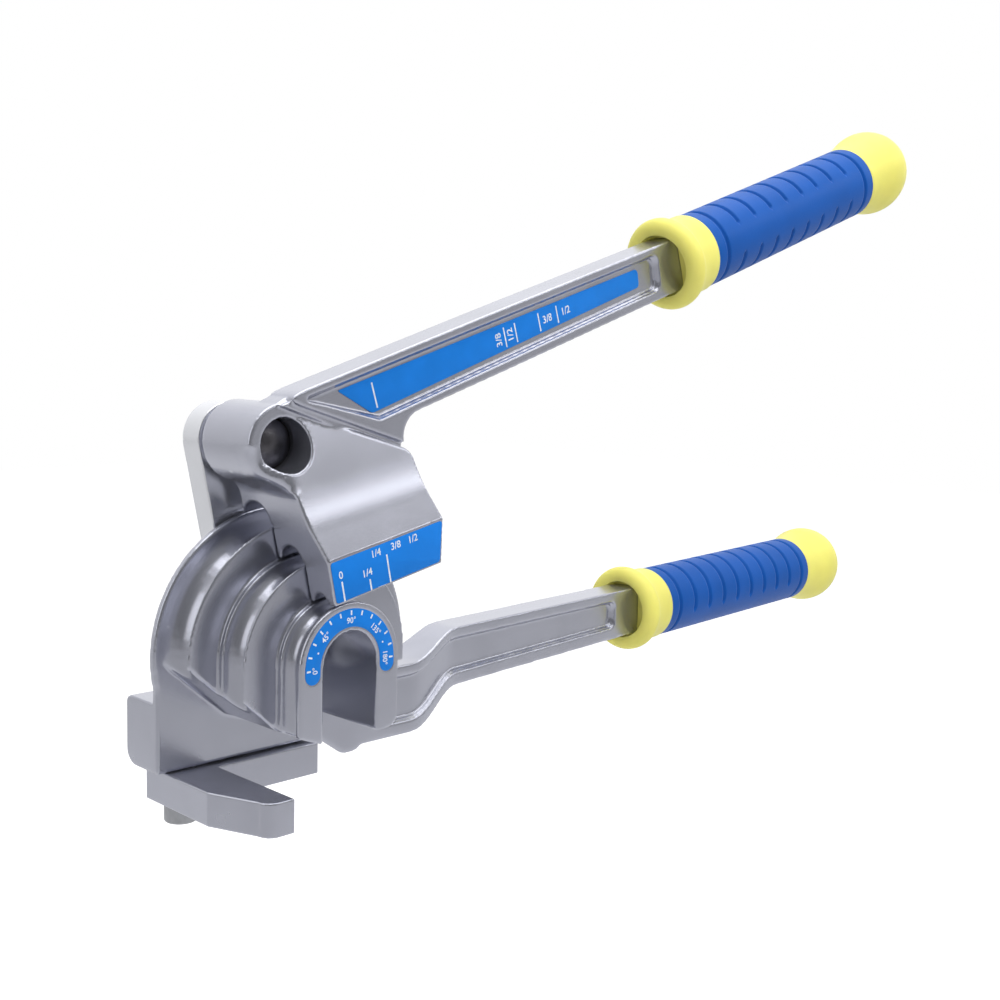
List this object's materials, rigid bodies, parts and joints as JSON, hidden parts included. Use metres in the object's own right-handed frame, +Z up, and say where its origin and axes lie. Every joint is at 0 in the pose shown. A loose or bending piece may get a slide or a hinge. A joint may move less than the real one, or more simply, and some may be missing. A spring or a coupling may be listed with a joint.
{
  "type": "tube bender",
  "caption": "Hand lever tube bender: stepped grooved die on a fixed handle, a linked shoe lever that wraps tube round it, and a swinging tube latch.",
  "frame": {"origin": "the bend centre on the front face of the grooved die", "axes": "+X towards the handles, +Y back along the bend axis, +Z up through the top of the die"},
  "size_m": [0.376, 0.0797, 0.2274],
  "materials": {
    "cast_silver": "satin silver paint on a die casting",
    "zinc_steel": "zinc plated",
    "dark_steel": "oiled steel",
    "bronze": "plain bearing bronze",
    "label_blue": "printed vinyl",
    "grip_yellow": "moulded, satin",
    "grip_blue": "moulded rubber, matte"
  },
  "bodies": {
    "form": {"form_casting": "cast_silver", "degree_label": "label_blue", "pivot_bolt": "zinc_steel", "pivot_washer": "zinc_steel", "pivot_rear_washer": "zinc_steel", "pivot_nut": "zinc_steel", "lower_collar": "grip_yellow", "lower_sleeve": "grip_blue", "lower_end_cap": "grip_yellow", "latch_pin": "zinc_steel", "latch_washer": "zinc_steel"},
    "link": {"link_plate": "cast_silver", "link_bush": "bronze", "barrel_pin": "dark_steel", "barrel_pin_washer": "zinc_steel", "barrel_pin_ring": "dark_steel"},
    "lever": {"lever_casting": "cast_silver", "barrel_bush_front": "bronze", "barrel_bush_rear": "bronze", "shoe_label": "label_blue", "lever_label": "label_blue", "upper_collar": "grip_yellow", "upper_sleeve": "grip_blue", "upper_end_cap": "grip_yellow"},
    "latch": {"latch_hook": "cast_silver"}
  },
  "joints": [
    {"name": "bend", "type": "hinge", "parent": "form", "child": "link", "pos_m": [0, 0.0435, 0], "axis": [0, 1, 0], "range_deg": [-78, 102]},
    {"name": "lever_open", "type": "hinge", "parent": "link", "child": "lever", "pos_m": [-0.01282, 0.03, 0.0603], "axis": [0, 1, 0], "range_deg": [-110, 0]},
    {"name": "latch_swing", "type": "hinge", "parent": "form", "child": "latch", "pos_m": [-0.0284, 0.04118, -0.0375], "axis": [0, 0, 1], "range_deg": [-100, 0]}
  ]
}
